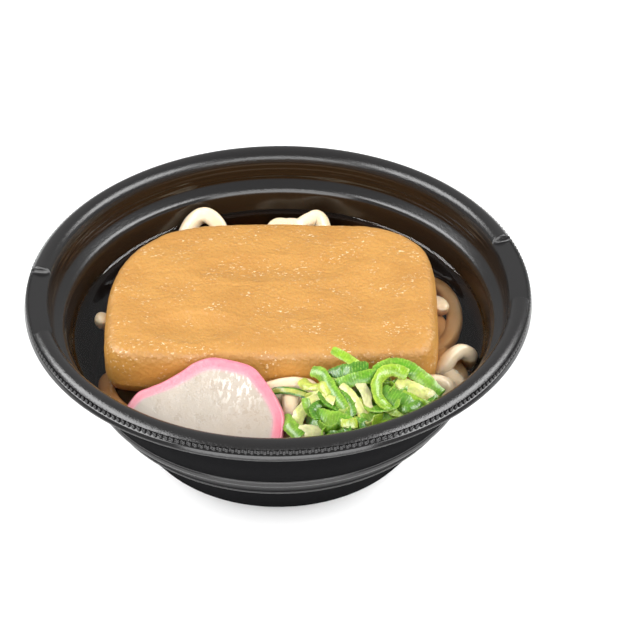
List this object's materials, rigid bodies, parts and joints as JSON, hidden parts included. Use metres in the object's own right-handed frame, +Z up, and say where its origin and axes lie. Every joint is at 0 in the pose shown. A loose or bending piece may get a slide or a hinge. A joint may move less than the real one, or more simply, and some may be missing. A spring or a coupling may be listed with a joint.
{
  "type": "udon noodle bowl",
  "caption": "Black takeaway bowl of thick noodles in clear broth, topped with a slab of fried tofu, a pink-edged fish cake slice and chopped green onion.",
  "frame": {"origin": "on the surface that the bowl stands on, below the middle of the whole", "axes": "+Z up, +X along the tofu slab's long side, -Y towards the fish cake and the green onion"},
  "size_m": [0.2, 0.2, 0.0677],
  "materials": {
    "black_plastic": "satin black thermoformed plastic, glossy inside",
    "broth": "clear brown liquid",
    "noodle": "wet",
    "fried_tofu": "finely pitted, moist",
    "fish_cake_white": "smooth, moist",
    "fish_cake_pink": "smooth, moist",
    "green_onion": "fresh, slightly waxy"
  },
  "bodies": {
    "root": {"bowl": "black_plastic", "broth": "broth", "noodles": "noodle", "fried_tofu": "fried_tofu", "fish_cake": "fish_cake_white", "fish_cake_skin": "fish_cake_pink", "green_onion": "green_onion"}
  },
  "joints": []
}
